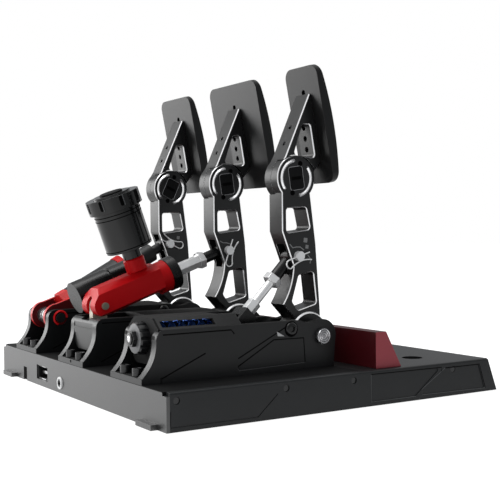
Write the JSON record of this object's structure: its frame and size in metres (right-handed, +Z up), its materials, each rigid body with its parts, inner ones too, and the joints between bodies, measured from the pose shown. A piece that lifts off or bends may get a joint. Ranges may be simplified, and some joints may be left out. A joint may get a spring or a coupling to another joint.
{
  "type": "sim racing pedal set",
  "caption": "Racing simulator pedal set: clutch, hydraulic brake and throttle pedals on a flat base tray, with linkages, reservoir and heel stop",
  "frame": {"origin": "on the floor under the middle of the set's bounding box", "axes": "+X the driver's right, +Y away from the driver towards the nose of the base, +Z up"},
  "size_m": [0.4, 0.365, 0.3099],
  "materials": {
    "black_paint": "fine matte",
    "black_alloy": "black anodised, bright chamfers",
    "red_alloy": "red anodised",
    "black_plastic": "matte",
    "rubber": "matte",
    "board": "solder mask",
    "steel": "satin",
    "black_steel": "black oxide",
    "blue_spring": "gloss"
  },
  "bodies": {
    "base": {"base_tray": "black_paint", "front_deck": "black_paint", "heel_plate": "black_paint", "heel_stop": "red_alloy", "side_cover_left": "black_plastic", "side_cover_right": "black_plastic", "heel_cover_left": "black_plastic", "heel_cover_right": "black_plastic", "rubber_feet": "rubber", "cover_screws": "black_steel", "control_board": "board", "wide_socket": "steel", "round_socket": "steel", "frame_bolts": "black_steel", "clutch_frame": "black_paint", "brake_frame": "black_paint", "throttle_frame": "black_paint", "clutch_frame_cover": "black_paint", "brake_frame_cover": "black_paint", "throttle_frame_cover": "black_paint", "pivot_axles": "steel", "pivot_spacers": "steel", "angle_sensors": "black_plastic", "preload_knob": "steel", "brake_lug": "steel", "linkage_pins": "black_steel"},
    "clutch_pedal": {"clutch_lower_arm": "black_alloy", "clutch_arm_fasteners": "steel"},
    "clutch_face": {"clutch_upper_arm": "black_alloy", "clutch_face_plate": "black_alloy"},
    "brake_pedal": {"brake_lower_arm": "black_alloy", "brake_arm_fasteners": "steel"},
    "brake_face": {"brake_upper_arm": "black_alloy", "brake_face_plate": "black_alloy"},
    "throttle_pedal": {"throttle_lower_arm": "black_alloy", "throttle_arm_fasteners": "steel"},
    "throttle_face": {"throttle_upper_arm": "black_alloy", "throttle_face_plate": "black_alloy"},
    "clutch_slider": {"clutch_carriage": "black_alloy", "carriage_pin": "steel", "guide_rod": "steel", "guide_rod_nut": "steel", "clutch_spring": "blue_spring"},
    "clutch_link": {"link_clevis": "black_alloy", "link_rod": "steel", "link_nut": "steel", "clutch_rod_end": "black_alloy"},
    "brake_cylinder_group": {"brake_cylinder": "red_alloy", "cylinder_gland": "black_paint", "reservoir_fitting": "red_alloy", "fluid_reservoir": "black_plastic", "reservoir_cap": "black_plastic", "brake_canister": "black_paint"},
    "brake_rod_group": {"brake_push_rod": "steel", "brake_rod_nut": "steel", "brake_rod_end": "black_alloy"},
    "throttle_strut_group": {"strut_fork": "red_alloy", "strut_barrel": "black_paint", "strut_collar": "red_alloy"},
    "throttle_rod_group": {"strut_rod": "black_paint"}
  },
  "joints": [
    {"name": "clutch_pedal_hinge", "type": "hinge", "parent": "base", "child": "clutch_pedal", "pos_m": [-0.125, -0.005, 0.0606], "axis": [-1, 0, 0], "range_deg": [0, 14], "stiffness_Nm_per_rad": 45, "springref_deg": -3.5},
    {"name": "brake_pedal_hinge", "type": "hinge", "parent": "base", "child": "brake_pedal", "pos_m": [0, -0.005, 0.0606], "axis": [-1, 0, 0], "range_deg": [0, 8], "stiffness_Nm_per_rad": 350, "springref_deg": -2},
    {"name": "throttle_pedal_hinge", "type": "hinge", "parent": "base", "child": "throttle_pedal", "pos_m": [0.125, -0.005, 0.0606], "axis": [-1, 0, 0], "range_deg": [0, 16], "stiffness_Nm_per_rad": 22, "springref_deg": -4},
    {"name": "clutch_face_tilt", "type": "hinge", "parent": "clutch_pedal", "child": "clutch_face", "pos_m": [-0.125, 0.0078, 0.2051], "axis": [-1, 0, 0], "range_deg": [-8, 8]},
    {"name": "brake_face_tilt", "type": "hinge", "parent": "brake_pedal", "child": "brake_face", "pos_m": [0, 0.0078, 0.2051], "axis": [-1, 0, 0], "range_deg": [-8, 8]},
    {"name": "throttle_face_tilt", "type": "hinge", "parent": "throttle_pedal", "child": "throttle_face", "pos_m": [0.125, 0.0078, 0.2051], "axis": [-1, 0, 0], "range_deg": [-8, 8]},
    {"name": "clutch_carriage_slide", "type": "slide", "parent": "base", "child": "clutch_slider", "axis": [0, 1, 0], "range_m": [0, 0.02178], "deforming": ["clutch_spring"]},
    {"name": "clutch_link_swing", "type": "hinge", "parent": "clutch_slider", "child": "clutch_link", "pos_m": [-0.125, 0.0681, 0.0706], "axis": [1, 0, 0], "range_deg": [0, 4.14]},
    {"name": "brake_cylinder_swing", "type": "hinge", "parent": "base", "child": "brake_cylinder_group", "pos_m": [0, 0.147, 0.0866], "axis": [-1, 0, 0], "range_deg": [0, 0.584]},
    {"name": "brake_rod_slide", "type": "slide", "parent": "brake_cylinder_group", "child": "brake_rod_group", "axis": [0, 0.9409, -0.3387], "range_m": [0, 0.01068]},
    {"name": "throttle_strut_swing", "type": "hinge", "parent": "base", "child": "throttle_strut_group", "pos_m": [0.125, 0.1495, 0.0676], "axis": [-1, 0, 0], "range_deg": [0, 1.81]},
    {"name": "throttle_rod_slide", "type": "slide", "parent": "throttle_strut_group", "child": "throttle_rod_group", "axis": [0, 0.8796, -0.4756], "range_m": [0, 0.0228]}
  ],
  "couplings": [
    {"joint": "clutch_carriage_slide", "follows": "clutch_pedal_hinge", "m_per_rad": 0.089056},
    {"joint": "clutch_link_swing", "follows": "clutch_pedal_hinge", "ratio": 0.29527},
    {"joint": "brake_cylinder_swing", "follows": "brake_pedal_hinge", "ratio": 0.072318},
    {"joint": "brake_rod_slide", "follows": "brake_pedal_hinge", "m_per_rad": 0.076369},
    {"joint": "throttle_strut_swing", "follows": "throttle_pedal_hinge", "ratio": 0.11308},
    {"joint": "throttle_rod_slide", "follows": "throttle_pedal_hinge", "m_per_rad": 0.081574}
  ]
}
